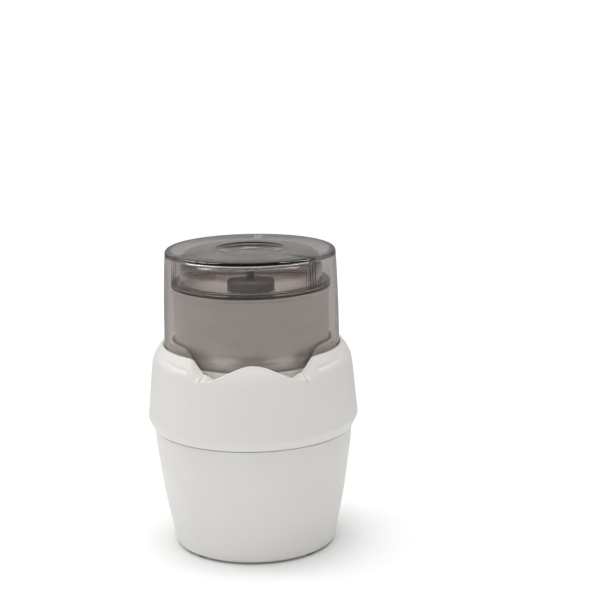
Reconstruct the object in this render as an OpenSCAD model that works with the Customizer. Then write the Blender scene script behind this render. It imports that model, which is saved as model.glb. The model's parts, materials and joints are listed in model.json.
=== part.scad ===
// Press-to-run food chopper, built as an assembly.
// Millimetres, +Z up, z = 0 is the plane the feet rest on, the front faces -Y.
// Every separate piece is one module; NODES lists them and "node" picks one.

/* [Body] */
// widest radius, at the lip of the upper collar
lip_r = 70.7; // [69:0.1:73]
// height of the lower edge of the collar lip above the table
lip_z = 82; // [81:0.5:83]
// outer radius of the housing where it meets the lip
body_r = 66.6; // [66:0.1:66.6]
// how much the housing narrows in a straight line towards the base
taper = 3.8; // [3:0.1:4.5]
// extra rounding-in of the housing towards the base
belly = 6.5; // [5:0.1:7]
// wall thickness of the white mouldings
wall = 2.4; // [2:0.1:2.6]

/* [Collar] */
// height of the top of the collar
collar_z = 138.6; // [138:0.1:139]
// height of the lowest point of the wave in the front rim
dip_z = 126; // [125:0.5:129]
// height of the top of the wave at the middle of the front
bump_z = 137; // [136:0.5:138]
// angle from the front to the dips of the wave, degrees
dip_a = 32; // [30:0.5:33]
// height of the ring that guides the bowl
guide_z = 143; // [142:0.5:144]
// half angle of the opening at the front of that ring, degrees
guide_a = 50; // [46:1:54]

/* [Cover, lid and bowl] */
// outer radius of the cover at its lower edge
cover_r = 58.5; // [58.3:0.1:58.8]
// outer radius of the cover at its top
cover_top_r = 56.6; // [56.2:0.1:57]
// height of the lower edge of the cover
cover_z0 = 137; // [136.5:0.1:137.5]
// height of the top of the cover
cover_z1 = 202; // [201.5:0.1:204]
// wall thickness of the cover
cover_t = 2.4; // [2:0.1:2.4]
// radius of the crown of the inner lid
crown_r = 47.6; // [46:0.1:48]
// radius of the rounded shoulder of the crown
crown_f = 8.5; // [7:0.5:10]
// radius of the bowl rim
rim_r = 53; // [52.6:0.1:53.2]
// height of the bowl rim
rim_z = 178; // [178]
// sheet thickness of the bowl
bowl_t = 1.1; // [0.9:0.1:1.2]

/* [Blades and drive] */
// radius of the blade hub
hub_r = 15.8; // [15:0.1:17]
// height of the top of the blade hub
hub_z = 181; // [181]
// reach of the lower blade from the axis
blade_low_r = 45; // [42:0.5:46]
// reach of the upper blade from the axis
blade_up_r = 40; // [36:0.5:44]
// radius of the motor shaft
shaft_r = 3; // [3]
// travel of the press ring, used to place stops
press = 3; // [3]

/* [Hidden] */
$fn = 96;
e = 0.01;
plate_z = 88;          // underside of the chassis plate
deck_z = 97;           // top of the deck inside the collar
trench_z = 124.6;      // floor of the groove the cover drops into
ring_z = 104;          // top of the press ring = underside of the bowl
foot_r = 43.4;           // feet on this radius
foot_h = 1.2;           // underside of the housing and of the base plate's rim
spring_r = 40;         // springs on this radius
spring_z0 = 86.5;
spring_a = [90, 210, 330];
post_a = [45, 135, 225, 315];
bolt_x = 27;           // motor bolts
stack_z0 = 44;         // lamination stack
stack_z1 = 68;
core_r = 17.4;
crown_z = cover_z1 - cover_t - 1;
brim_z = rim_z + 1.6;
white = [0.93, 0.92, 0.90];
smoke = [0.42, 0.39, 0.38, 0.45];
steel = [0.72, 0.72, 0.72];
dark = [0.12, 0.12, 0.12];
brass = [0.80, 0.65, 0.35];
copper = [0.72, 0.40, 0.22];

function arc(cx, cz, r, a0, a1, n) =
  [for (i = [0:n]) [cx + r * cos(a0 + (a1 - a0) * i / n), cz + r * sin(a0 + (a1 - a0) * i / n)]];
// housing radius at height z
function body_at(z) = let (s = (lip_z - z) / 72) body_r - taper * s - belly * s * s;
// cover radius at height z: nearly straight, drawn in towards the top
function cover_at(z) = let (t = (z - cover_z0) / (cover_z1 - cover_z0))
  cover_r - (cover_r - cover_top_r) * t * t;
module turn(p) rotate_extrude($fn = 96) polygon(p);
module at(r, a, z = 0) rotate([0, 0, a]) translate([r, 0, z]) children();
module ring(ro, ri, z0, z1) translate([0, 0, z0]) difference() {
  cylinder(r = ro, h = z1 - z0);
  translate([0, 0, -1]) cylinder(r = ri, h = z1 - z0 + 2);
}

// ---------------------------------------------------------------- base
module lower_housing() color(white) {
  out = [for (z = [10:9:lip_z]) [body_at(z), z]];
  difference() {
    union() {
      turn(concat([[50.8, foot_h], [53.2, foot_h]],
        [[54.7, foot_h + 0.6], [55.8, foot_h + 2.4], [56.25, 6.4]], out,
        [[body_r, lip_z - 0.4], [body_r - 0.3, lip_z], [body_r - 0.3, plate_z + 3],
         [body_r - wall, plate_z + 3], [body_r - wall, plate_z], [body_r - wall - 4, plate_z],
         [body_r - wall - 4, plate_z - 2], [body_r - wall - 0.6, plate_z - 6]],
        [for (i = [0:7]) let (z = lip_z - 1 - i * 10) [body_at(z) - wall, z]],
        [[52.6, 7.6], [50.8, 7.6]]));
      // four bosses for the base screws
      for (a = post_a) at(foot_r, a, 7.6) cylinder(r = 4, h = 11.6);
      for (a = post_a) at(foot_r + 3, a, 7.6) translate([0, -1.2, 0]) cube([8.6, 2.4, 11]);
    }
    for (a = post_a) at(foot_r, a, 6) cylinder(r = 1.6, h = 12.4, $fn = 24);
    // hole for the cord gland at the back
    translate([0, 40, 17]) rotate([-90, 0, 0]) cylinder(r = 5.2, h = 30);
  }
}
module base_plate() color(white) difference() {
  union() {
    ring(50.6, 7, foot_h + 0.5, foot_h + 3);
    for (a = post_a) at(foot_r, a, 4) cylinder(r = 3.9, h = 3.6);
    ring(10, 7, 3.8, 8);
  }
  for (a = post_a) at(foot_r, a, 0) cylinder(r = 2, h = 12, $fn = 24);
  // air slots
  for (a = [0:15:345]) at(13.5, a, 0) translate([0, -1.2, 0]) cube([9.5, 2.4, 8]);
}
module foot(a) color(dark) at(foot_r, a) ring(7, 3.8, 0, foot_h + 0.5);
module foot_front_left() foot(225);
module foot_front_right() foot(315);
module foot_back_left() foot(135);
module foot_back_right() foot(45);
module screw(rh, hh, rs, l) difference() {
  union() {
    cylinder(r = rh, h = hh, $fn = 32);
    translate([0, 0, hh]) cylinder(r = rs, h = l, $fn = 24);
  }
  for (q = [0, 90]) rotate([0, 0, q]) translate([-rh * 0.7, -0.3, -1]) cube([rh * 1.4, 0.6, 1.7]);
}
module base_screws() color(steel) for (a = post_a)
  at(foot_r, a, foot_h - 0.8) screw(3.3, 1.3, 1.55, 15.6);
module cord_gland() color(dark) translate([0, 0, 17]) rotate([-90, 0, 0]) difference() {
  union() {
    translate([0, 0, 51]) cylinder(r = 5.2, h = 10);
    translate([0, 0, 59.6]) cylinder(r = 6.6, h = 2);
    translate([0, 0, 51]) cylinder(r = 6.6, h = 1.8);
  }
  translate([0, 0, 40]) cylinder(r = 2.6, h = 30, $fn = 32);
}

// -------------------------------------------------------------- collar
// outline of the wave cut into the front rim, seen from the front
module wave_outline() {
  xd = 60.6 * sin(dip_a);
  xo = 60.6 * sin(42);
  polygon(concat(
    [[-xo - 1.6, collar_z + 10], [-xo - 1.6, collar_z - 0.6], [-xo + 5.2, dip_z + 4.6],
     [-xd - 3.6, dip_z + 0.6]],
    [for (i = [0:16]) let (x = -xd + i * xd / 8)
      [x, dip_z + (bump_z - dip_z) * (1 + cos(180 * x / xd)) / 2]],
    [[xd + 3.6, dip_z + 0.6], [xo - 5.2, dip_z + 4.6], [xo + 1.6, collar_z - 0.6],
     [xo + 1.6, collar_z + 10]]));
}
module guide_outline() {
  w = 55 * sin(guide_a);
  polygon([[-w - 5, guide_z + 2], [-w, guide_z - 2.4], [-w + 4.4, guide_z - 9],
    [-w + 5.2, deck_z + 34], [w - 5.2, deck_z + 34], [w - 4.4, guide_z - 9], [w, guide_z - 2.4],
    [w + 5, guide_z + 2]]);
}
module upper_collar() color(white) difference() {
  union() {
    difference() {
      turn([[body_r + 0.3, lip_z], [lip_r, lip_z + 6.4], [lip_r, lip_z + 8],
        [67.4, 123], [66.5, 129], [65.1, 132.6], [63.2, 135.4], [61.4, 137.8],
        [60.7, collar_z], [60.2, collar_z - 0.4], [60, collar_z - 1], [60, trench_z],
        [55.7, trench_z], [55.7, guide_z - 0.6], [55.2, guide_z], [53.8, guide_z],
        [53.3, guide_z - 0.6], [53.3, deck_z], [12, deck_z], [12, deck_z + 2], [9, deck_z + 2],
        [9, deck_z - 2.5], [55.6, deck_z - 2.5], [55.6, trench_z - wall], [64.6, trench_z - wall], [lip_r - wall, lip_z + 9], [body_r + 0.3, lip_z + 5]]);
      // wave in the front rim; everything behind the outer band stays
      difference() {
        rotate([90, 0, 0]) linear_extrude(height = 80) wave_outline();
        cylinder(r = 57.9, h = 300);
      }
      intersection() {
        rotate([90, 0, 0]) linear_extrude(height = 80) guide_outline();
        cylinder(r = 57, h = 300);
      }
      // the groove widens behind the wave
      intersection() {
        turn([[57, trench_z], [64, trench_z], [63.2, 129], [62, 133], [60.6, 136.4],
          [59.9, 138], [57, 138]]);
        translate([-35.6, -80, 100]) cube([71.2, 80, 60]);
      }
    }
    // wells for the three return springs
    for (a = spring_a) at(spring_r, a) ring(7, 5.6, spring_z0 - 0.5, deck_z - 2);
    for (a = spring_a) at(spring_r, a) ring(7, 2.5, spring_z0 - 1.5, spring_z0);
    // posts that stand on the chassis plate
    for (a = post_a) at(50, a, plate_z + 3) cylinder(r = 4, h = deck_z - 2 - plate_z - 3);
  }
  for (a = spring_a) at(spring_r, a, spring_z0) cylinder(r = 5.6, h = 20);
  for (a = post_a) at(50, a, plate_z) cylinder(r = 1.6, h = 8, $fn = 24);
  // hole for the switch finger
  at(spring_r, 150, 80) cylinder(r = 3, h = 30, $fn = 32);
}
module collar_screws() color(steel) for (a = post_a)
  at(50, a, plate_z - 1.8) screw(3.3, 1.8, 1.55, 8);
module spindle_seal() color(dark) difference() {
  union() {
    ring(9, shaft_r + 2.05, deck_z - 2.4, deck_z + 1.6);
    ring(10.6, shaft_r + 2.05, deck_z + 2, deck_z + 3);
    ring(9, 7.4, deck_z + 1.5, deck_z + 2.1);
  }
}

// --------------------------------------------------------------- motor
module chassis_plate() color(dark) difference() {
  union() {
    ring(body_r - wall - 0.4, 6.45, plate_z, plate_z + 3);
    ring(12, 6.45, plate_z - 5, plate_z + 0.5);
    for (x = [-1, 1], y = [-1, 1]) translate([x * bolt_x, y * bolt_x, stack_z1])
      cylinder(r = 4.4, h = plate_z - stack_z1 + 0.5, $fn = 32);
    // bracket for the switch
    at(spring_r - 5.4, 150, stack_z1 + 0.6) translate([0, -5, 0]) cube([2, 12, plate_z - stack_z1]);
  }
  for (x = [-1, 1], y = [-1, 1]) translate([x * bolt_x, y * bolt_x, 0]) cylinder(r = 2, h = 120, $fn = 24);
  for (a = post_a) at(50, a, 80) cylinder(r = 2, h = 20, $fn = 24);
  for (a = spring_a) at(spring_r, a, 80) cylinder(r = 8, h = 20);
  at(spring_r, 150, 79) translate([-3.4, -5.3, 0]) cube([9.4, 12.6, 20]);
  for (a = [0:30:330]) at(18, a, 80) cylinder(r = 3, h = 20, $fn = 24);
}
module lower_bracket() color(dark) difference() {
  union() {
    ring(12, 6.45, 20, 27);
    for (q = [45:90:315]) rotate([0, 0, q]) translate([9, -3.4, 22.4]) cube([27, 6.8, 3.6]);
    for (x = [-1, 1], y = [-1, 1]) translate([x * bolt_x, y * bolt_x, 22])
      cylinder(r = 4.4, h = stack_z0 - 22, $fn = 32);
    // pads for the brush holders
    for (s = [0, 180]) rotate([0, 0, s]) translate([11, -6, 21]) cube([17, 12, 9]);
  }
  translate([0, 0, 10]) cylinder(r = 6.45, h = 30);
  for (x = [-1, 1], y = [-1, 1]) translate([x * bolt_x, y * bolt_x, 0]) cylinder(r = 2, h = 60, $fn = 24);
}
module motor_bolts() color(steel) for (x = [-1, 1], y = [-1, 1])
  translate([x * bolt_x, y * bolt_x, 19.6]) {
    cylinder(r = 3.6, h = 2.4, $fn = 6);
    cylinder(r = 1.9, h = plate_z + 4.8 - 19.6, $fn = 24);
    translate([0, 0, plate_z + 3 - 19.6]) cylinder(r = 3.2, h = 2.2, $fn = 6);
  }
module stator_core() color([0.45, 0.46, 0.48]) translate([0, 0, stack_z0])
  linear_extrude(height = stack_z1 - stack_z0) difference() {
    intersection() { square(70, center = true); circle(r = 44); }
    difference() {
      union() {
        square([52, 25], center = true);
        square([25, 54], center = true);
      }
      // two poles
      for (s = [-1, 1]) translate([0, s * 23]) square([20, 14], center = true);
      difference() { circle(r = 21.5); square([60, 16], center = true); }
    }
    circle(r = 18);
    for (x = [-1, 1], y = [-1, 1]) translate([x * bolt_x, y * bolt_x]) circle(r = 2, $fn = 24);
  }
module field_coils() color(copper) for (s = [0, 180]) rotate([0, 0, s])
  translate([0, 23.2, 56]) rotate([90, 0, 0]) difference() {
    translate([-12.2, -16.5, -3]) cube([24.4, 33, 6]);
    translate([-10.1, -12.1, -5]) cube([20.2, 24.2, 10]);
  }
module bearing(z) color(brass) difference() {
  translate([0, 0, z]) cylinder(r = 6.45, h = 5);
  translate([0, 0, z - 1]) cylinder(r = shaft_r + 0.05, h = 7);
}
module upper_bearing() bearing(plate_z - 4);
module lower_bearing() bearing(21.5);
module brush_holders() color(brass) for (s = [0, 180]) rotate([0, 0, s]) difference() {
  translate([11.4, -4, 30]) cube([16, 8, 8]);
  translate([10, -2.7, 31.3]) cube([20, 5.4, 5.4]);
}
module carbon_brushes() color([0.2, 0.2, 0.21]) for (s = [0, 180]) rotate([0, 0, s])
  translate([9.35, -2.6, 31.4]) cube([13, 5.2, 5.2]);
module motor_shaft() color(steel) translate([0, 0, 18]) cylinder(r = shaft_r, h = 90 - 18);
module armature_core() color([0.5, 0.5, 0.52]) translate([0, 0, stack_z0])
  linear_extrude(height = stack_z1 - stack_z0) difference() {
    circle(r = core_r);
    circle(r = shaft_r, $fn = 48);
    for (a = [0:30:330]) rotate(a) {
      translate([10, -1.6]) square([5.2, 3.2]);
      translate([15, -0.7]) square([4, 1.4]);
    }
  }
module armature_windings() color(copper) difference() {
  union() {
    translate([0, 0, stack_z1]) cylinder(r1 = 15.6, r2 = 12, h = 5);
    translate([0, 0, stack_z0 - 4]) cylinder(r1 = 12, r2 = 15.6, h = 4);
    for (a = [0:30:330]) at(10.2, a, stack_z0) translate([0, -1.45, 0])
      cube([4.8, 2.9, stack_z1 - stack_z0]);
  }
  cylinder(r = shaft_r, h = 120, $fn = 48);
}
module commutator() color(copper) difference() {
  ring(9.3, shaft_r, 29, 39.8);
  for (a = [0:15:345]) at(8.2, a, 28) translate([0, -0.25, 0]) cube([3, 0.5, 9.5]);
}
module cooling_fan() color(dark) {
  ring(6, shaft_r, 73.2, 81);
  ring(20, 5.5, 73.2, 74.8);
  for (a = [0:30:330]) at(6.8, a, 74.4) translate([0, -0.7, 0]) cube([12.8, 1.4, 5.8]);
}
module drive_spindle() color(steel) difference() {
  union() {
    translate([0, 0, 90]) cylinder(r = shaft_r + 2, h = 58);
    translate([0, 0, 147.5]) cylinder(r = 4.6, h = 16.5, $fn = 6);
  }
  translate([0, 0, 163]) cylinder(r = 1, h = 2, $fn = 24);
}

// -------------------------------------------------------------- switch
module switch_body() color([0.16, 0.16, 0.17]) at(spring_r, 150) difference() {
  translate([-3.4, -5, 68.6]) cube([7, 12, 13.4]);
  translate([0, 0, 75.4]) cylinder(r = 1.65, h = 8, $fn = 32);
  for (y = [-2.9, 4.9]) translate([-5, y, 71]) rotate([0, 90, 0]) cylinder(r = 1.2, h = 12, $fn = 24);
}
module switch_plunger() color([0.7, 0.15, 0.12]) at(spring_r, 150) {
  translate([0, 0, 76.2 + press]) cylinder(r = 1.6, h = 7, $fn = 32);
  translate([0, 0, 85.6]) cylinder(r = 2.2, h = 1.2, $fn = 32);
}

// ---------------------------------------------------------- press ring
module press_ring() color(white) {
  ring(50, 28, ring_z - 3.4, ring_z - 1.4);
  ring(47, 33, ring_z - 1.4, ring_z);
  for (a = spring_a) at(spring_r, a, spring_z0 - 4) cylinder(r = 2.1, h = ring_z - 3 - spring_z0 + 4, $fn = 32);
  at(spring_r, 150, 86.9) cylinder(r = 2.4, h = ring_z - 3 - 86.9, $fn = 32);
}
module return_springs() color(steel) for (a = spring_a) at(spring_r, a, spring_z0 + 0.4)
  linear_extrude(height = ring_z - 3.4 - spring_z0 - 0.8, twist = -360 * 4, slices = 56, $fn = 7)
    translate([4.1, 0]) circle(r = 0.55, $fn = 7);

// ---------------------------------------------------------------- bowl
module bowl() color(steel) {
  o = concat([[9, ring_z]], [[36, ring_z]], arc(38, ring_z + 12, 12, -90, -6, 6),
    [[50.9, 126], [51.6, 145], [52.1, rim_z - 3]], [[rim_r, rim_z - 2], [rim_r, rim_z]]);
  i = concat([[rim_r - 2, rim_z], [52.1 - bowl_t, rim_z - 2.6], [51.6 - bowl_t, 145], [50.9 - bowl_t, 126]],
    arc(38, ring_z + 12, 12 - bowl_t, -6, -90, 6),
    [[11.2, ring_z + bowl_t], [9, ring_z + 4], [8.6, 149.5], [7.4, 149.5], [7.4, ring_z + 1]]);
  turn(concat(o, i, [[8, ring_z]]));
}
module bowl_gasket() color(dark) ring(rim_r, rim_r - 2.3, rim_z, rim_z + 1.6);
module blade_hub() color([0.13, 0.12, 0.12]) difference() {
  turn([[10, 109], [hub_r, 109], [hub_r, 113.2], [hub_r, 115], [hub_r, hub_z - 1.4], [hub_r - 1.4, hub_z],
    [3.3, hub_z], [3.3, hub_z - 4], [2.2, hub_z - 5], [0, hub_z - 5], [0, 168.5], [5.6, 168.5], [7, 168.5],
    [7, 151], [9.5, 150.5], [10, 112]]);
  // slots for the two blades
  for (b = [[113.2, 0], [139.2, 90]]) translate([0, 0, b[0]]) rotate([0, 0, b[1]]) {
    translate([-60, -5.1, 0]) cube([120, 10.2, 1.3]);
    cylinder(r = 13.7, h = 1.3);
  }
}
module hub_socket() color(brass) difference() {
  translate([0, 0, 151.2]) cylinder(r = 6.95, h = 17.2);
  translate([0, 0, 150]) cylinder(r = 4.75, h = 18, $fn = 6);
}
module blade(r, w) linear_extrude(height = 1.2) difference() {
  union() {
    circle(r = 13.6);
    for (s = [0, 180]) rotate(s) {
      translate([0, -5]) square([r - 9, 10]);
      intersection() {
        translate([r - 16, -11]) circle(r = 16);
        translate([r - 22, -5]) square([22.5, 10]);
      }
    }
  }
  circle(r = 10.1);
  for (s = [0, 180]) rotate(s) for (k = [0:5]) translate([18 + k * w, -5.4]) circle(r = 1.3, $fn = 24);
}
module lower_blade() color(steel) translate([0, 0, 113.25]) blade(blade_low_r, 3.4);
module upper_blade() color(steel) translate([0, 0, 139.25]) rotate([0, 0, 90]) blade(blade_up_r, 2.8);

// ------------------------------------------------------- lid and cover
module inner_lid() color(smoke) {
  t = 2;
  turn(concat(
    [[49.4, brim_z - 7], [50.2, brim_z - 7], [50.2, brim_z], [52.8, brim_z], [52.8, brim_z + 2],
     [crown_r + 1, brim_z + 2], [crown_r, brim_z + 3]],
    arc(crown_r - crown_f, crown_z - crown_f, crown_f, 0, 90, 6),
    [[24.4, crown_z], [18.4, crown_z - 3], [3.2, crown_z - 3], [3.2, crown_z - 3 - t],
     [17.6, crown_z - 3 - t], [23.6, crown_z - t]],
    arc(crown_r - crown_f, crown_z - crown_f, crown_f - t, 90, 0, 6),
    [[crown_r - t, brim_z + 1], [49.4, brim_z + 0.2]]));
}
module lid_pivot() color(steel) {
  translate([0, 0, crown_z - 3]) cylinder(r = 5, h = 0.6, $fn = 48);
  translate([0, 0, crown_z - 5.2]) cylinder(r = 3.2, h = 2.4, $fn = 48);
  translate([0, 0, hub_z - 3]) cylinder(r = 2.6, h = crown_z - 5 - hub_z + 3, $fn = 48);
}
module press_cover() color(smoke) {
  t = cover_t;
  turn(concat(
    [[cover_r - t, cover_z0], [cover_r - 0.4, cover_z0], [cover_r, cover_z0 + 0.4]],
    [for (i = [1:7]) let (z = cover_z0 + i * (cover_z1 - cover_z0) / 8) [cover_at(z), z]],
    [[cover_at(cover_z1 - 1.6), cover_z1 - 1.6], [cover_top_r - 0.5, cover_z1 - 0.5],
     [cover_top_r - 1.6, cover_z1], [22.6, cover_z1], [16.4, cover_z1 - 3], [0, cover_z1 - 3],
     [0, cover_z1 - 3 - t], [17, cover_z1 - 3 - t], [23.2, cover_z1 - t],
     [cover_top_r - t, cover_z1 - t]],
    [for (i = [7:-1:1]) let (z = cover_z0 + i * (cover_z1 - cover_z0) / 8) [cover_at(z) - t, z]]));
  // three groups of three ribs that bear on the lid brim
  for (a = [82.5, 315.5, 207.5], k = [-1, 0, 1]) at(0, a)
    translate([51.6, k * 2.3 - 0.5, brim_z + 2.3])
      cube([56 - 51.6, 1, cover_z1 - t - brim_z - 2.3 + 0.5]);
}

lower_housing();
upper_collar();
base_plate();
foot_front_left();
foot_front_right();
foot_back_left();
foot_back_right();
base_screws();
collar_screws();
cord_gland();
chassis_plate();
lower_bracket();
motor_bolts();
stator_core();
field_coils();
upper_bearing();
lower_bearing();
brush_holders();
carbon_brushes();
motor_shaft();
armature_core();
armature_windings();
commutator();
cooling_fan();
drive_spindle();
spindle_seal();
switch_body();
switch_plunger();
press_ring();
return_springs();
bowl();
bowl_gasket();
blade_hub();
hub_socket();
lower_blade();
upper_blade();
inner_lid();
lid_pivot();
press_cover();
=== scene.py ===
"""Press-to-run food chopper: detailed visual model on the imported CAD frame."""
import json
import math

import bmesh
import bpy
from mathutils import Matrix, Vector

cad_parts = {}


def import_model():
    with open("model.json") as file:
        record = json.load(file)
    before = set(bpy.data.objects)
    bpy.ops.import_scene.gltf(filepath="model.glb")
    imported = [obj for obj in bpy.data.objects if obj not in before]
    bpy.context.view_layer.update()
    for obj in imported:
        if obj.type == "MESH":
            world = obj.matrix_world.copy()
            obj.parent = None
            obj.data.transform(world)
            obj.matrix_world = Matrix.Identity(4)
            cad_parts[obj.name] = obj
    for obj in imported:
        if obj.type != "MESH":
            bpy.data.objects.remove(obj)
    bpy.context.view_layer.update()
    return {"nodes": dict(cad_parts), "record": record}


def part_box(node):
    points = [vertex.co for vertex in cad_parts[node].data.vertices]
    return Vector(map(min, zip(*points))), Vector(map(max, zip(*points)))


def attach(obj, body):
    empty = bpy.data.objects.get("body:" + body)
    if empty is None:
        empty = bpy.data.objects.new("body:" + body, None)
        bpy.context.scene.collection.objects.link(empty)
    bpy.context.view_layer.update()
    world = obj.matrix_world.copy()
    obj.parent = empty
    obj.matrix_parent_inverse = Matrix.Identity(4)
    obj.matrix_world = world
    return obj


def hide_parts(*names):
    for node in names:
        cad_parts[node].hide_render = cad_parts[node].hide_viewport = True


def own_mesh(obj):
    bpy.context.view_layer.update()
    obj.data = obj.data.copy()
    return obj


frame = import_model()
MM = 0.001
SEGS = 192
IMAGE_SIZE = 600  # the render's width, in the unit of focal_px


# ------------------------------------------------------------------ camera
def make_camera(distance, height, pitch, yaw, roll, focal_px):
    """Camera in front of the object, turned so that the object stands left of the middle."""
    p, y, r = math.radians(pitch), math.radians(yaw), math.radians(roll)
    ahead = Vector((math.sin(y) * math.cos(p), math.cos(y) * math.cos(p), -math.sin(p)))
    right0 = Vector((math.cos(y), -math.sin(y), 0))
    up0 = right0.cross(ahead)
    right = math.cos(r) * right0 + math.sin(r) * up0
    up = -math.sin(r) * right0 + math.cos(r) * up0
    cam = bpy.data.cameras.new("camera")
    cam.sensor_width = 36
    cam.lens = focal_px / IMAGE_SIZE * cam.sensor_width
    cam.clip_start, cam.clip_end = 0.05, 200
    obj = bpy.data.objects.new("camera", cam)
    bpy.context.scene.collection.objects.link(obj)
    m = Matrix((right, up, -ahead)).transposed().to_4x4()
    m.translation = Vector((0, -distance, height))
    obj.matrix_world = m
    bpy.context.scene.camera = obj


make_camera(distance=1.0, height=0.3832, pitch=12.26, yaw=1.87, roll=-0.8, focal_px=1531)


# --------------------------------------------------------------- materials
def add(nt, kind, inputs=None, **props):
    """A new shader node. Its inputs are constants, or other nodes' output sockets to link."""
    node = nt.nodes.new("ShaderNode" + kind)
    for key, value in props.items():
        setattr(node, key, value)
    for key, value in (inputs or {}).items():
        if isinstance(value, bpy.types.NodeSocket):
            nt.links.new(value, node.inputs[key])
        else:
            node.inputs[key].default_value = value
    return node


def material(name, color, rough=0.4, metal=0.0, transmission=0.0, ior=1.46, tint=None,
             tint_scale=40, grain=0.0, grain_scale=900, stretch=(1, 1, 1), rough_var=0.08,
             wave=0.0, wave_scale=60):
    """A Principled material with colour drift, varying roughness and two scales of bump."""
    mat = bpy.data.materials.new(name)
    mat.use_nodes = True
    nt = mat.node_tree
    bsdf = nt.nodes["Principled BSDF"]
    bsdf.inputs["Metallic"].default_value = metal
    bsdf.inputs["Transmission Weight"].default_value = transmission
    bsdf.inputs["IOR"].default_value = ior
    coords = add(nt, "TexCoord")
    scale = add(nt, "Mapping", {"Vector": coords.outputs["Object"], "Scale": stretch})

    def noise(size, detail=3.0):
        return add(nt, "TexNoise", {"Vector": scale.outputs["Vector"], "Scale": size,
                                    "Detail": detail}).outputs["Fac"]

    def ramp(source, low, high):
        return add(nt, "MapRange", {"Value": source, "From Min": 0.3, "From Max": 0.7,
                                    "To Min": low, "To Max": high}).outputs["Result"]

    mix = add(nt, "Mix", {"A": (*color, 1), "B": (*(tint or [c * 0.94 for c in color]), 1),
                          "Factor": ramp(noise(tint_scale), 0, 1)}, data_type="RGBA")
    nt.links.new(mix.outputs["Result"], bsdf.inputs["Base Color"])
    patches = ramp(noise(tint_scale * 3.1), rough * (1 - rough_var), rough * (1 + rough_var))
    nt.links.new(patches, bsdf.inputs["Roughness"])

    normal = None
    for strength, size in ((wave, wave_scale), (grain, grain_scale)):
        if strength <= 0:
            continue
        bump = add(nt, "Bump", {"Strength": strength, "Distance": 0.0004,
                                "Height": noise(size, 2.0)})
        if normal:
            nt.links.new(normal, bump.inputs["Normal"])
        normal = bump.outputs["Normal"]
    if normal:
        nt.links.new(normal, bsdf.inputs["Normal"])
    return mat


def clear_plastic(name, density, deep, **more):
    """Smoked clear plastic: it darkens with thickness, and lets the lamps' light through.

    deep is (z0, z1, r0, r1, tint), in metres, a painted shade: above z1 and outside r1 the plastic
    is painted that darker tint, for the dark band along its rounded top edge, and below z0 or
    inside r0 none of it."""
    mat = material(name, (1, 1, 1), transmission=1.0, ior=1.49, tint=(0.985, 0.98, 0.975), **more)
    nt = mat.node_tree
    bsdf = nt.nodes["Principled BSDF"]
    bsdf.inputs["Specular IOR Level"].default_value = 0.28

    # painted shade: a darker tint mixed into the colour by height and radius, over the rounded top
    # edge
    z0, z1, r0, r1, tint = deep
    place = add(nt, "TexCoord").outputs["Object"]
    axes = add(nt, "SeparateXYZ", {"Vector": place})
    rise = add(nt, "MapRange", {"Value": axes.outputs["Z"], "From Min": z0, "From Max": z1},
               interpolation_type="SMOOTHSTEP")
    flat = add(nt, "VectorMath", {0: place, 1: (1, 1, 0)}, operation="MULTIPLY")
    radius = add(nt, "VectorMath", {0: flat.outputs["Vector"]}, operation="LENGTH")
    outer = add(nt, "MapRange", {"Value": radius.outputs["Value"], "From Min": r0, "From Max": r1},
                interpolation_type="SMOOTHSTEP")
    painted_shade_amount = add(nt, "Math", {0: rise.outputs["Result"], 1: outer.outputs["Result"]},
                 operation="MULTIPLY")
    plain = bsdf.inputs["Base Color"].links[0].from_socket
    shade = add(nt, "Mix", {"A": plain, "B": (*tint, 1), "Factor": painted_shade_amount.outputs["Value"]},
                data_type="RGBA", blend_type="MULTIPLY")
    nt.links.new(shade.outputs["Result"], bsdf.inputs["Base Color"])

    see = add(nt, "BsdfTransparent", {"Color": (0.96, 0.96, 0.96, 1)})
    path = add(nt, "LightPath")
    mix = add(nt, "MixShader", {"Fac": path.outputs["Is Shadow Ray"], 1: bsdf.outputs["BSDF"],
                                2: see.outputs["BSDF"]})
    fog = add(nt, "VolumeAbsorption", {"Color": (0.17, 0.06, 0, 1), "Density": density})
    out = nt.nodes["Material Output"]
    nt.links.new(mix.outputs["Shader"], out.inputs["Surface"])
    nt.links.new(fog.outputs["Volume"], out.inputs["Volume"])
    return mat


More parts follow.
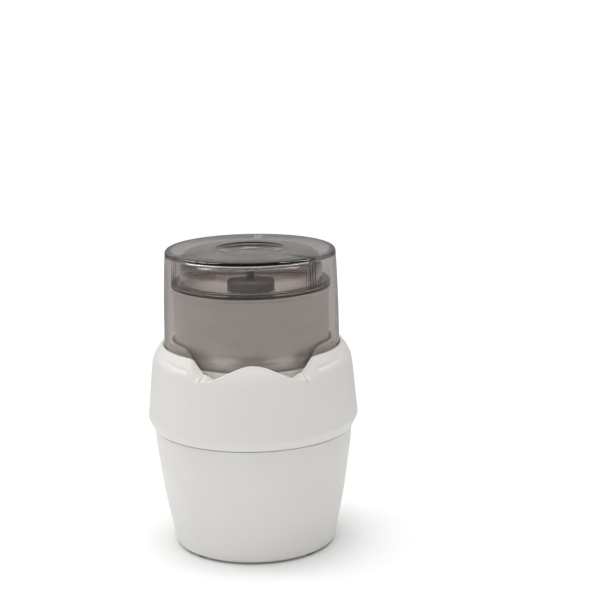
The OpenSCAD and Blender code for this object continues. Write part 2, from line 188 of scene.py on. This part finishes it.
MAT = {
    "white_plastic": material("white_plastic", (0.80, 0.785, 0.75), rough=0.44,
                              tint=(0.79, 0.773, 0.737), grain=0.10, grain_scale=1400,
                              wave=0.05, wave_scale=45),
    # each deep tuple paints shade, a darker tint, on the cover's top rim and on the lid crown's
    # shoulder
    "smoked_plastic": clear_plastic("smoked_plastic", 100, rough=0.025, wave=0.02, wave_scale=70,
                                    deep=(0.1988, 0.2006, 0.0515, 0.0535, (0.55, 0.51, 0.51))),
    "smoked_plastic_lid": clear_plastic("smoked_plastic_lid", 70, rough=0.03, wave=0.02,
                                        wave_scale=60, deep=(0.1864, 0.1902, 0.036, 0.0405,
                                                             (0.50, 0.47, 0.46))),
    "bowl_steel": material("bowl_steel", (0.76, 0.73, 0.70), rough=0.42, metal=0.6,
                           tint=(0.71, 0.68, 0.655), grain=0.12, grain_scale=260,
                           stretch=(1, 1, 9), rough_var=0.15),
    "blade_steel": material("blade_steel", (0.70, 0.70, 0.69), rough=0.24, metal=1.0,
                            grain=0.15, grain_scale=700, stretch=(1, 6, 1)),
    "bright_steel": material("bright_steel", (0.62, 0.62, 0.62), rough=0.28, metal=1.0,
                             grain=0.1, grain_scale=900, stretch=(1, 1, 5)),
    "seal_black": material("seal_black", (0.018, 0.015, 0.015), rough=0.42, grain=0.12,
                           tint=(0.030, 0.026, 0.026)),
    "rubber_black": material("rubber_black", (0.022, 0.022, 0.022), rough=0.62, grain=0.25,
                             grain_scale=1800, tint=(0.04, 0.04, 0.04)),
    "hub_plastic": material("hub_plastic", (0.028, 0.025, 0.026), rough=0.30, grain=0.08,
                            tint=(0.04, 0.036, 0.036)),
    "inner_plastic": material("inner_plastic", (0.035, 0.035, 0.038), rough=0.5, grain=0.3,
                              tint=(0.06, 0.06, 0.062)),
    "lamination_iron": material("lamination_iron", (0.30, 0.31, 0.33), rough=0.45, metal=0.9,
                                tint=(0.22, 0.22, 0.24), grain=0.5, grain_scale=120,
                                stretch=(0.2, 0.2, 18)),
    "copper_wire": material("copper_wire", (0.50, 0.19, 0.07), rough=0.3, metal=0.85,
                            tint=(0.34, 0.11, 0.04), grain=0.8, grain_scale=300,
                            stretch=(1, 1, 6)),
    "copper_bars": material("copper_bars", (0.66, 0.34, 0.20), rough=0.25, metal=1.0,
                            grain=0.2, grain_scale=500, stretch=(1, 1, 4)),
    "bearing_brass": material("bearing_brass", (0.66, 0.48, 0.20), rough=0.33, metal=1.0,
                              grain=0.25, tint=(0.58, 0.41, 0.17)),
    "carbon": material("carbon", (0.03, 0.03, 0.033), rough=0.55, grain=0.5, grain_scale=2400),
    "red_plastic": material("red_plastic", (0.42, 0.02, 0.015), rough=0.35, grain=0.1),
}


# ---------------------------------------------------------- mesh functions
def finish_mesh(name, bm, slot, body, nodes=(), crease=32):
    """Turns a bmesh into a piece that rides on a body and stands for CAD nodes."""
    bmesh.ops.recalc_face_normals(bm, faces=bm.faces)
    me = bpy.data.meshes.new(name)
    bm.to_mesh(me)
    bm.free()
    me.shade_smooth()
    me.set_sharp_from_angle(angle=math.radians(crease))
    me.materials.append(MAT[slot])
    obj = bpy.data.objects.new(name, me)
    bpy.context.scene.collection.objects.link(obj)
    if nodes:
        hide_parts(*nodes)
    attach(obj, body)
    return obj


def rounded(points, steps=5):
    """A closed outline of (r, z[, fillet]) points with its corners rounded, all in mm."""
    out, n = [], len(points)
    for i, p in enumerate(points):
        here = Vector(p[:2])
        radius = p[2] if len(p) > 2 else 0
        a = Vector(points[i - 1][:2]) - here
        b = Vector(points[(i + 1) % n][:2]) - here
        if radius <= 0 or a.length < 1e-6 or b.length < 1e-6:
            out.append(here)
            continue
        angle = a.angle(b)
        if angle > 3.13:
            out.append(here)
            continue
        cut = min(radius / math.tan(angle / 2), a.length * 0.49, b.length * 0.49)
        radius = cut * math.tan(angle / 2)
        middle = (a.normalized() + b.normalized()).normalized()
        centre = here + middle * (radius / math.sin(angle / 2))
        start, end = here + a.normalized() * cut - centre, here + b.normalized() * cut - centre
        turn = start.angle_signed(end)
        for k in range(steps + 1):
            t = -turn * k / steps
            out.append(centre + Vector((start.x * math.cos(t) - start.y * math.sin(t),
                                        start.x * math.sin(t) + start.y * math.cos(t))))
    return out


def loft(rings):
    """A bmesh from closed rings of 3-D points; ring i joins ring i + 1, and the last the first."""
    bm = bmesh.new()
    rows = [[bm.verts.new(p) for p in ring] for ring in rings]
    n, m = len(rows), len(rows[0])
    for i in range(n):
        a, b = rows[i], rows[(i + 1) % n]
        for j in range(m):
            k = (j + 1) % m
            bm.faces.new((a[j], a[k], b[k], b[j]))
    return bm


def spin_points(outline, phi):
    """Outline points in mm turned to azimuth phi (0 is the front), in metres."""
    s, c = math.sin(phi), -math.cos(phi)
    return [(p[0] * MM * s, p[0] * MM * c, p[1] * MM) for p in outline]


def lathe(outline, segs=SEGS):
    """A closed outline in mm turned about Z. Points on the axis are merged."""
    bm = loft([spin_points(outline, 2 * math.pi * i / segs) for i in range(segs)])
    bmesh.ops.remove_doubles(bm, verts=bm.verts, dist=1e-6)
    return bm


def box_mesh(lo, hi, turn):
    """A box between two corners in mm, turned about Z by an angle in radians."""
    bm = bmesh.new()
    bmesh.ops.create_cube(bm, size=1)
    for v in bm.verts:
        for k in range(3):
            v.co[k] = (lo[k] + (v.co[k] + 0.5) * (hi[k] - lo[k])) * MM
    bmesh.ops.rotate(bm, verts=bm.verts, cent=(0, 0, 0), matrix=Matrix.Rotation(turn, 3, "Z"))
    return bm


def cylinder_tool(centre, radius, ends, axis):
    """A cylinder in mm to cut with, along Y (axis 1) or Z (axis 2) from ends[0] to ends[1]."""
    bm = bmesh.new()
    segs = 64
    u, v = (k for k in range(3) if k != axis)
    rows = []
    for along in ends:
        row = []
        for i in range(segs):
            t = 2 * math.pi * i / segs
            co = [along * MM] * 3
            co[u] = (centre[0] + radius * math.cos(t)) * MM
            co[v] = (centre[1] + radius * math.sin(t)) * MM
            row.append(bm.verts.new(co))
        rows.append(row)
    for i in range(segs):
        j = (i + 1) % segs
        bm.faces.new((rows[0][i], rows[0][j], rows[1][j], rows[1][i]))
    bm.faces.new(rows[0])
    bm.faces.new(rows[1])
    bmesh.ops.recalc_face_normals(bm, faces=bm.faces)
    return bm


def boolean(obj, bms, mode):
    """Joins more solids to a piece (UNION) or cuts them out of it (DIFFERENCE)."""
    for bm in bms:
        me = bpy.data.meshes.new("tool")
        bm.to_mesh(me)
        bm.free()
        tool = bpy.data.objects.new("tool", me)
        bpy.context.scene.collection.objects.link(tool)
        mod = obj.modifiers.new("join", "BOOLEAN")
        mod.operation, mod.solver, mod.object = mode, "EXACT", tool
        dg = bpy.context.evaluated_depsgraph_get()
        new = bpy.data.meshes.new_from_object(obj.evaluated_get(dg))
        obj.modifiers.clear()
        obj.data = new
        bpy.data.objects.remove(tool)
    obj.data.shade_smooth()
    obj.data.set_sharp_from_angle(angle=math.radians(32))


def on_circle(r, a):
    """X and Y at radius r and CAD angle a, in degrees."""
    return r * math.cos(math.radians(a)), r * math.sin(math.radians(a))


def off_axis(name, outline, r, a, slot, body, nodes=(), segs=64):
    """A turned piece whose axis stands at radius r and CAD angle a."""
    bm = lathe(outline, segs)
    bmesh.ops.translate(bm, verts=bm.verts, vec=Vector((*on_circle(r * MM, a), 0)))
    finish_mesh(name, bm, slot, body, nodes)


def lerp_table(table, x):
    """Piecewise straight-line value from ((x, y), ...) at x."""
    if x <= table[0][0]:
        return table[0][1]
    for (x0, y0), (x1, y1) in zip(table, table[1:]):
        if x <= x1:
            return y0 + (y1 - y0) * (x - x0) / (x1 - x0)
    return table[-1][1]


def smooth(t):
    """0 at 0 and below, 1 at 1 and above, and an S-curve between."""
    t = max(0.0, min(1.0, t))
    return t * t * (3 - 2 * t)


# ----------------------------------------------------- sizes, mm, as in CAD
LIP_Z, LIP_R, BODY_R = 82.0, 70.7, 66.6
WALL = 2.4
DIP_Z, DIP_A, BUMP_Z = 126.0, 32.0, 136.9
TRENCH_Z, DECK_Z = 124.6, 97.0
COVER_R, COVER_TOP_R, COVER_Z0, COVER_Z1, COVER_T = 58.5, 56.6, 137.0, 202.0, 2.4
RIB_ANGLES = (82.5, 315.5, 207.5)
CROWN_R, CROWN_F, CROWN_Z = 47.6, 8.5, 198.6
RIM_R, RIM_Z, SEAL_H = 53.0, 178.0, 1.6
HUB_R, HUB_Z = 15.8, 181.0
FOOT_R, FOOT_H = 43.4, 1.2
SPRING_R, SPRING_ANGLES = 40, (90, 210, 330)
SWITCH_ANGLE = 150
POST_R, CORNER_ANGLES = 50, (45, 135, 225, 315)
GLAND_Z = 17


# ------------------------------------------------------------ lower housing
def body_at(z):
    """The housing's outside radius at height z."""
    s = (LIP_Z - z) / 72
    return BODY_R - 3.8 * s - 6.5 * s * s


def lower_housing():
    zs = [13 + i * (LIP_Z - 1.5 - 13) / 22 for i in range(23)]
    out = [(50.8, FOOT_H), (52.8, FOOT_H, 0.6), (54.8, FOOT_H + 1.5, 2.5), (55.8, 7.6, 8)]
    # the lower half is half a millimetre slimmer than the CAD solid
    out += [(body_at(z) - 0.5 * smooth((76 - z) / 20), z) for z in zs]
    # the seam's groove, the neck inside the collar, and the ledge for the chassis plate
    out += [(BODY_R, LIP_Z - 0.65, 0.2), (BODY_R - 0.9, LIP_Z - 0.6), (BODY_R - 0.9, LIP_Z + 2),
            (BODY_R - 0.3, LIP_Z + 3), (BODY_R - 0.3, 91, 0.4), (BODY_R - WALL, 91, 0.4),
            (BODY_R - WALL, 88), (60.2, 88), (60.2, 86), (63.6, 82)]
    out += [(body_at(z) - WALL, z) for z in reversed(zs)]
    out += [(53.6, 7.6), (50.8, 7.6)]
    obj = finish_mesh("housing_shell", lathe(rounded(out)), "white_plastic", "base",
                      ["lower_housing"])
    boolean(obj, [cylinder_tool((0, GLAND_Z), 5.25, (50, 70), 1)], "DIFFERENCE")


# ------------------------------------------------------------- upper collar
# the shoulder's radius by height, then heights by degrees from the front: the soft crease on the
# shoulder, the top of the band beside the cover, and the top of the guide inside the cover
SHOULDER = ((123, 67.4), (126, 67.05), (129, 66.35), (131, 65.65), (133, 64.7), (135, 63.4),
            (136.6, 62.35), (138.6, 60.9))
CREASE_Z = ((31, 130.2), (36.5, 130.8), (44.5, 131.4), (52.5, 132.2), (61.5, 133.0), (80, 134.2),
            (180, 134.6))
BAND_TOP = ((31.2, 129.6), (33, 131.6), (36, 134.6), (38.5, 137.1), (40, 138.1), (42, 138.6),
            (180, 138.6))
GUIDE_TOP = ((43.2, 130.0), (43.5, 132), (44, 135), (45.5, 138), (48.5, 141), (51, 142.2),
             (54, 142.8), (60, 143), (180, 143))
RIM_ROUND = 0.9
TRENCH_END = 31.3            # degrees from the front where the trench behind the wave ends
SIDE_R, SIDE_Z = 67.9, 118   # the collar's side runs straight up to here
GROOVE_R = 60                # the trench's inner edge
LIP_SIDE_R, LIP_SIDE_Z = LIP_R - 0.05, LIP_Z + 8.6


def shoulder(z):
    """The collar's outside radius at height z, above its straight side."""
    if z < SHOULDER[0][0]:
        return SIDE_R - 0.5 * smooth((z - SIDE_Z) / 5)
    return lerp_table(SHOULDER, z)


def collar_front(a):
    """From the top of the side over the wavy rim and down into the trench, at a degrees."""
    rim = DIP_Z + (BUMP_Z - DIP_Z) * (1 + math.cos(math.pi * min(1, a / DIP_A))) / 2
    end = smooth((a - 19) / 12.3)
    roll = RIM_ROUND * (1 - 0.6 * end)
    top = rim - roll * 0.9
    pts = [(shoulder(z), z) for z in (SIDE_Z + (top - SIDE_Z) * i / 14 for i in range(1, 15))]
    r_out = pts[-1][0]
    for k in range(1, 6):
        t = math.pi * k / 6 * (1 - 0.7 * end)
        pts.append((r_out - roll + roll * math.cos(t), top + roll * math.sin(t)))
    # the trench's floor rises towards its ends, more so at its inner edge
    floor_z = TRENCH_Z + (125.7 - TRENCH_Z) * end
    inner_z = TRENCH_Z + (129.4 - TRENCH_Z) * end
    foot = Vector((min(64.0, shoulder(TRENCH_Z) - 2.3) + 1.9 * end, floor_z))
    start = Vector(pts[-1])
    pts += [tuple(start.lerp(foot, (i + 1) / 7)) for i in range(7)]
    pts += [(foot.x + (GROOVE_R - foot.x) * i / 16, floor_z + (inner_z - floor_z) * i / 16)
            for i in range(1, 17)]
    return pts


def collar_round(a):
    """From the top of the side over the creased shoulder and down beside the cover."""
    fade = 1 - smooth((a - 40) / 40)
    groove = GROOVE_R - 0.6 * smooth((a - 33) / 7)
    crease, high = lerp_table(CREASE_Z, a), lerp_table(BAND_TOP, a)
    outer = 126.1 + (high - 126.1) * smooth((a - 31) / 10)
    reach = 0.6 + 3.6 * smooth((a - 31.2) / 2.6) * (1 - smooth((a - 37.5) / 4))
    pts = []
    for i in range(1, 35):
        z = SIDE_Z + (outer - reach - SIDE_Z) * i / 34
        dip = math.exp(-((z - crease) / 1.1) ** 2)
        step = smooth((z - crease + 1.2) / 2.4)
        puff = math.exp(-((z - crease + 3.2) / 2.2) ** 2)
        pts.append((shoulder(z) - fade * (0.75 * dip + 0.30 * step - 0.35 * puff), z))
    low = Vector(pts[-1])
    corner = Vector((low.x - (shoulder(outer - reach) - shoulder(outer - 0.3)), outer))
    inward = corner + (Vector((groove, high - 0.2)) - corner).normalized() * reach
    for k in range(1, 5):
        t = k / 4
        pts.append(tuple(low.lerp(corner, t).lerp(corner.lerp(inward, t), t)))
    return pts + [(groove, high - 0.2 + (TRENCH_Z - high + 0.2) * i / 3) for i in range(4)]


def collar_section(deg):
    """The collar's closed section at deg degrees from the front, always as many points."""
    a = abs(deg)
    pts = [(BODY_R + 0.3, LIP_Z + 5), (BODY_R + 0.3, LIP_Z + 0.3), (BODY_R + 0.6, LIP_Z),
           (LIP_R - 0.75, LIP_Z + 5.4), (LIP_R - 0.25, LIP_Z + 6.3), (LIP_R, LIP_Z + 7.4),
           (LIP_SIDE_R, LIP_SIDE_Z)]
    for i in range(1, 9):
        t = i / 8
        pts.append((LIP_SIDE_R + (SIDE_R - LIP_SIDE_R) * t, LIP_SIDE_Z + (SIDE_Z - LIP_SIDE_Z) * t))
    pts += collar_front(a) if a < TRENCH_END else collar_round(a)
    pts += [(57.8, TRENCH_Z), (55.7, TRENCH_Z)]
    g = lerp_table(GUIDE_TOP, a)
    pts += [(55.7, TRENCH_Z + (g - 0.6 - TRENCH_Z) * i / 4) for i in range(1, 5)]
    pts += [(55.5, g - 0.15), (55.0, g), (53.9, g), (53.45, g - 0.15)]
    pts += [(53.3, g - 0.6 + (DECK_Z + 3 - g + 0.6) * i / 5) for i in range(6)]
    pts += [(52.6, DECK_Z + 0.8), (50.5, DECK_Z), (30, DECK_Z), (12.3, DECK_Z), (12, DECK_Z + 0.4),
            (12, DECK_Z + 1.7), (11.7, DECK_Z + 2), (9.3, DECK_Z + 2), (9, DECK_Z + 1.7),
            (9, DECK_Z - 2.5), (30, DECK_Z - 2.5), (55.6, DECK_Z - 2.5), (55.6, TRENCH_Z - WALL),
            (64.6, TRENCH_Z - WALL), (LIP_R - WALL, LIP_Z + 9)]
    return pts


def upper_collar():
    step = 1.25
    angles = [k * step for k in range(int(360 / step))]
    # more sections where the trench ends and where the guide rises
    for edge in (30.7, 31.2, 31.4, 31.9, 43.35, 43.8, 44.4, 45.5, 33.1, 34.4):
        angles += [edge, 360 - edge]
    rings = [spin_points(collar_section(d if d <= 180 else d - 360), math.radians(d))
             for d in sorted(angles)]
    obj = finish_mesh("collar_shell", loft(rings), "white_plastic", "base", ["upper_collar"],
                      crease=38)
    holes = [(a, 5.6) for a in SPRING_ANGLES] + [(SWITCH_ANGLE, 3.0)]
    for a, radius in holes:
        boolean(obj, [cylinder_tool(on_circle(SPRING_R, a), radius, (80, 110), 2)], "DIFFERENCE")
    for k, a in enumerate(SPRING_ANGLES):
        outline = rounded([(2.5, 85), (7, 85, 0.6), (7, 94.6), (5.6, 94.6), (5.6, 86.5, 0.4),
                           (2.5, 86.5)])
        off_axis("spring_well_%d" % k, outline, SPRING_R, a, "white_plastic", "base")
    for k, a in enumerate(CORNER_ANGLES):
        outline = rounded([(1.6, 91), (4, 91, 0.3), (4, 94.6), (1.6, 94.6)])
        off_axis("collar_post_%d" % k, outline, POST_R, a, "white_plastic", "base", segs=48)


# ------------------------------------------------------- cover, lid and bowl
def cover_at(z):
    """The cover's outside radius at height z."""
    t = (z - COVER_Z0) / (COVER_Z1 - COVER_Z0)
    return COVER_R - (COVER_R - COVER_TOP_R) * t * t


def press_cover():
    t, z0, z1 = COVER_T, COVER_Z0, COVER_Z1
    zs = [z0 + 2 + i * (z1 - 6 - z0 - 2) / 14 for i in range(15)]
    out = [(COVER_R - t, z0, 0.5), (COVER_R, z0, 0.8)]
    out += [(cover_at(z), z) for z in zs]
    out += [(COVER_TOP_R, z1, 2.2), (23.0, z1, 4), (16.2, z1 - 3, 3), (0, z1 - 3), (0, z1 - 3 - t),
            (17.0, z1 - 3 - t, 3), (23.4, z1 - t, 3), (COVER_TOP_R - t, z1 - t, 3.2)]
    out += [(cover_at(z) - t, z) for z in reversed(zs)]
    obj = finish_mesh("cover_shell", lathe(rounded(out)), "smoked_plastic", "cover",
                      ["press_cover"])
    # three groups of three ribs inside
    ribs = []
    for a in RIB_ANGLES:
        for y in (-2.3, 0, 2.3):
            ribs.append(box_mesh((51.6, y - 0.5, 181.9), (56, y + 0.5, z1 - t + 0.4),
                                 math.radians(a)))
    boolean(obj, ribs, "UNION")


def inner_lid():
    t, bz = 2.0, RIM_Z + SEAL_H
    out = [(49.4, bz - 7, 0.4), (50.2, bz - 7, 0.4), (50.2, bz, 0.2), (52.8, bz, 0.3),
           (52.8, bz + 2, 0.6), (CROWN_R, bz + 2, 1.2), (CROWN_R, CROWN_Z, CROWN_F),
           (24.4, CROWN_Z, 3.5), (18.2, CROWN_Z - 3, 2.5), (3.2, CROWN_Z - 3),
           (3.2, CROWN_Z - 3 - t), (17.8, CROWN_Z - 3 - t, 2.5), (24.0, CROWN_Z - t, 2.5),
           (CROWN_R - t, CROWN_Z - t, CROWN_F - t), (CROWN_R - t, bz + 0.2, 1.0), (49.4, bz + 0.2)]
    finish_mesh("lid_shell", lathe(rounded(out, 9)), "smoked_plastic_lid", "lid", ["inner_lid"])


def bowl():
    t = 1.1
    out = [(8.2, 104), (50.2, 104, 12), (51.6, 145), (52.1, RIM_Z - 2.6, 1.0),
           (RIM_R, RIM_Z - 1.8, 0.8), (RIM_R, RIM_Z, 0.4), (RIM_R - 1.9, RIM_Z, 0.8),
           (52.1 - t, RIM_Z - 2.6), (51.6 - t, 145), (50.2 - t, 104 + t, 12 - t), (9, 104 + t, 3),
           (8.6, 149.5, 0.5), (7.4, 149.5, 0.4), (7.4, 105)]
    finish_mesh("bowl_shell", lathe(rounded(out, 8)), "bowl_steel", "bowl", ["bowl"])


def bowl_gasket():
    inner, top = RIM_R - 2.3, RIM_Z + SEAL_H
    out = [(RIM_R, RIM_Z, 0.5), (RIM_R, top, 0.5), (inner, top, 0.4), (inner, RIM_Z, 0.4)]
    finish_mesh("rim_seal", lathe(rounded(out)), "seal_black", "bowl", ["bowl_gasket"])


def blade_hub():
    out = [(10, 109, 0.5), (HUB_R, 109, 1.2), (HUB_R, HUB_Z, 1.6), (3.3, HUB_Z, 0.6),
           (3.3, HUB_Z - 4.6, 0.3), (0, HUB_Z - 4.6), (0, 168.6), (7, 168.6), (7, 151),
           (9.4, 150.6), (10, 112)]
    finish_mesh("hub_body", lathe(rounded(out)), "hub_plastic", "blades", ["blade_hub"])


def foot_rings():
    """Rubber feet, a little wider where they stand than the CAD rings."""
    top = FOOT_H + 0.5
    outline = rounded([(3.8, 0, 0.3), (8.5, 0, 0.2), (8.4, 0.7, 0.3), (7, 1.05), (7, top),
                       (3.8, top)])
    names = ("foot_back_right", "foot_back_left", "foot_front_left", "foot_front_right")
    for name, a in zip(names, CORNER_ANGLES):
        off_axis(name + "_pad", outline, FOOT_R, a, "rubber_black", "base", [name])


def springs():
    """Three coil springs, flattened by the press travel."""
    lo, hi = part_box("return_springs")
    bm = bmesh.new()
    turns, per_turn, sides, wire, radius = 4, 28, 10, 0.5 * MM, 4.1 * MM
    for a in SPRING_ANGLES:
        cx, cy = on_circle(SPRING_R * MM, a)
        rows = []
        for i in range(turns * per_turn + 1):
            t = i / (turns * per_turn)
            phi = 2 * math.pi * turns * t
            z = lo.z + wire + (hi.z - lo.z - 2 * wire) * t
            out, up = Vector((math.cos(phi), math.sin(phi), 0)), Vector((0, 0, 1))
            c = Vector((cx, cy, z)) + out * radius
            rows.append([bm.verts.new(c + wire * (out * math.cos(q) + up * math.sin(q)))
                         for q in (2 * math.pi * k / sides for k in range(sides))])
        for r0, r1 in zip(rows, rows[1:]):
            for k in range(sides):
                bm.faces.new((r0[k], r0[(k + 1) % sides], r1[(k + 1) % sides], r1[k]))
        bm.faces.new(rows[0])
        bm.faces.new(rows[-1])
    obj = finish_mesh("coil_springs", bm, "bright_steel", "base", ["return_springs"])
    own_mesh(obj)


# ------------------------------------------------------------------- stage
def mirrored(nt):
    """1 for what an outer surface mirrors, half that for what is mirrored behind clear plastic."""
    path = add(nt, "LightPath")
    deep = add(nt, "MapRange", {"Value": path.outputs["Transmission Depth"], "From Max": 1,
                                "To Min": 1.0, "To Max": 0.5})
    return add(nt, "Math", {0: path.outputs["Is Glossy Ray"], 1: deep.outputs["Result"]},
               operation="MULTIPLY").outputs["Value"]


def stage():
    me = bpy.data.meshes.new("floor")
    s = 60
    me.from_pydata([(-s, -s, 0), (s, -s, 0), (s, s, 0), (-s, s, 0)], [], [(0, 1, 2, 3)])
    floor = bpy.data.objects.new("floor", me)
    bpy.context.scene.collection.objects.link(floor)
    mat = bpy.data.materials.new("floor")
    mat.use_nodes = True
    nt = mat.node_tree
    pale = nt.nodes["Principled BSDF"]
    pale.inputs["Base Color"].default_value = (0.95, 0.95, 0.95, 1)
    pale.inputs["Roughness"].default_value = 0.9
    pale.inputs["Specular IOR Level"].default_value = 0.0
    # mirrored in the gloss of the plastics, the lit sheet ends a short way from the object
    geo = add(nt, "NewGeometry")
    far = add(nt, "VectorMath", {0: geo.outputs["Position"]}, operation="LENGTH")
    edge = add(nt, "MapRange", {"Value": far.outputs["Value"], "From Min": 0.25, "From Max": 0.60})
    both = add(nt, "Math", {0: edge.outputs["Result"], 1: mirrored(nt)}, operation="MULTIPLY")
    # and the light that it returns to the object is a little less than what the camera sees
    path = add(nt, "LightPath")
    less = add(nt, "Math", {0: path.outputs["Is Diffuse Ray"], 1: 0.20, 2: both.outputs["Value"]},
               operation="MULTIPLY_ADD")
    dark = add(nt, "BsdfDiffuse", {"Color": (0.22, 0.22, 0.22, 1)})
    mix = add(nt, "MixShader", {"Fac": less.outputs["Value"], 1: pale.outputs["BSDF"],
                                2: dark.outputs["BSDF"]})
    nt.links.new(mix.outputs["Shader"], nt.nodes["Material Output"].inputs["Surface"])
    me.materials.append(mat)


def lamp(name, kind, energy, pos=(0, 0, 0), aim=None, **props):
    """A lamp at pos that points at aim, or straight down."""
    data = bpy.data.lights.new(name, kind)
    data.energy = energy
    for key, value in props.items():
        setattr(data, key, value)
    obj = bpy.data.objects.new(name, data)
    bpy.context.scene.collection.objects.link(obj)
    obj.location = pos
    if aim:
        obj.rotation_euler = (Vector(aim) - Vector(pos)).to_track_quat("-Z", "Y").to_euler()
    return obj


def world():
    """White surroundings, brighter on the left. The gloss mirrors a dimmer room instead, darkest
    on the camera's side and palest behind the object."""
    sky = bpy.data.worlds.new("studio")
    bpy.context.scene.world = sky
    sky.use_nodes = True
    nt = sky.node_tree
    bg = nt.nodes["Background"]
    bg.inputs["Color"].default_value = (1, 1, 1, 1)
    axes = add(nt, "SeparateXYZ", {"Vector": add(nt, "TexCoord").outputs["Generated"]})
    side = add(nt, "MapRange", {"Value": axes.outputs["X"], "From Min": -1, "To Min": 0.80,
                                "To Max": 0.43})
    nt.links.new(side.outputs["Result"], bg.inputs["Strength"])
    depth = add(nt, "MapRange", {"Value": axes.outputs["Y"], "From Min": -0.6, "From Max": 0.9,
                                 "To Min": 0.16, "To Max": 0.46})
    room = add(nt, "Background", {"Strength": depth.outputs["Result"]})
    mix = add(nt, "MixShader", {"Fac": mirrored(nt), 1: bg.outputs["Background"],
                                2: room.outputs["Background"]})
    nt.links.new(mix.outputs["Shader"], nt.nodes["World Output"].inputs["Surface"])


def lights():
    soft = [
        lamp("overhead", "SUN", 1.55, angle=math.radians(44)),
        lamp("bowl_light", "SPOT", 70, (0, -0.75, 1.10), (0, 0.012, 0.19),
             spot_size=math.radians(3.9), spot_blend=0.35, shadow_soft_size=0.01),
        lamp("fill_left", "AREA", 3.2, (-1.15, 0.25, 1.55), (0, 0, 0.15), shape="RECTANGLE",
             size=0.34, size_y=0.5),
        lamp("fill_right", "AREA", 0.4, (1.05, 0.15, 1.65), (0, 0, 0.15), shape="RECTANGLE",
             size=0.2, size_y=0.3),
    ]
    # these two only show as highlights
    glossy = [
        lamp("softbox_left", "AREA", 19, (-1.08, 0.38, 1.68), (0, 0, 0.19), shape="RECTANGLE",
             size=0.60, size_y=1.15),
        lamp("softbox_right", "AREA", 13.5, (1.05, 0.20, 1.72), (0, 0, 0.19), shape="RECTANGLE",
             size=0.48, size_y=1.05),
    ]
    for obj in soft:
        obj.visible_glossy = False
    for obj in glossy:
        obj.visible_diffuse = False
    bpy.context.scene.view_settings.view_transform = "Standard"


# ------------------------------------------------------------------- build
SLOT_OF = {s["node"]: s["material_slot"] for s in frame["record"]["subparts"]}
for node, obj in frame["nodes"].items():
    obj.data.materials.clear()
    obj.data.materials.append(MAT[SLOT_OF[node]])

for make in (lower_housing, upper_collar, press_cover, inner_lid, bowl, bowl_gasket, blade_hub,
             foot_rings, springs, stage, world, lights):
    make()
